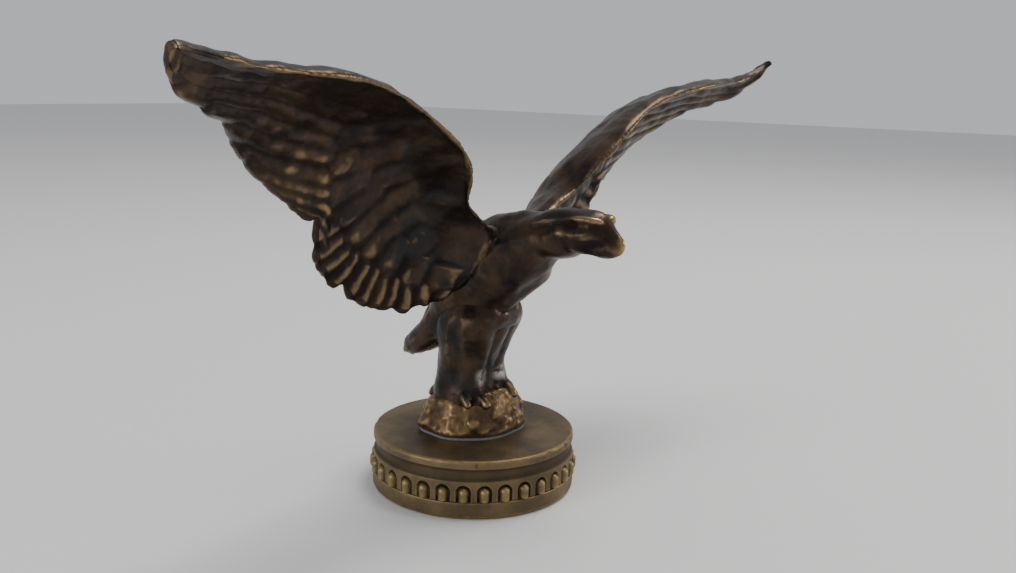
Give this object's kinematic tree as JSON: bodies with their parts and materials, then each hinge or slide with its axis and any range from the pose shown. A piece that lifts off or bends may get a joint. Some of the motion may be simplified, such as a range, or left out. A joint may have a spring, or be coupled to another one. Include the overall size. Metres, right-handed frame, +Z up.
{
  "type": "hood ornament",
  "caption": "Cast bronze eagle with raised wings on a rock, held by a stud to a round screw-on radiator cap with a ribbed grip and a threaded neck.",
  "frame": {"origin": "on the cap's axis at the mouth of the neck thread, level with the rim that it stands on", "axes": "+Z up out of the cap's top, the eagle faces -Y, its wings spread along X with its left wing at +X"},
  "size_m": [0.2652, 0.0819, 0.1331],
  "materials": {
    "bronze": "aged cast bronze with dark patina and rubbed highlights",
    "rock_bronze": "rubbed golden cast bronze",
    "cap_brass": "worn satin brass with a bright rim",
    "bush_brass": "machined brass",
    "steel": "plain zinc-grey steel",
    "fibre": "matt grey fibre gasket",
    "rubber": "matt black rubber"
  },
  "bodies": {
    "cap": {"cap_shell": "cap_brass", "neck_bush": "bush_brass", "neck_gasket": "rubber", "sealing_washer": "fibre"},
    "mascot": {"rock_gasket": "fibre", "rock_mound": "rock_bronze", "eagle_legs": "bronze", "eagle_body": "bronze", "left_wing": "bronze", "right_wing": "bronze", "left_wing_pin": "steel", "right_wing_pin": "steel", "mounting_stud": "steel", "plain_washer": "steel", "spring_washer": "steel", "hex_nut": "steel"}
  },
  "joints": [
    {"name": "mascot_swivel", "type": "hinge", "parent": "cap", "child": "mascot", "pos_m": [0, 0, 0], "axis": [0, 0, 1], "continuous": true}
  ]
}
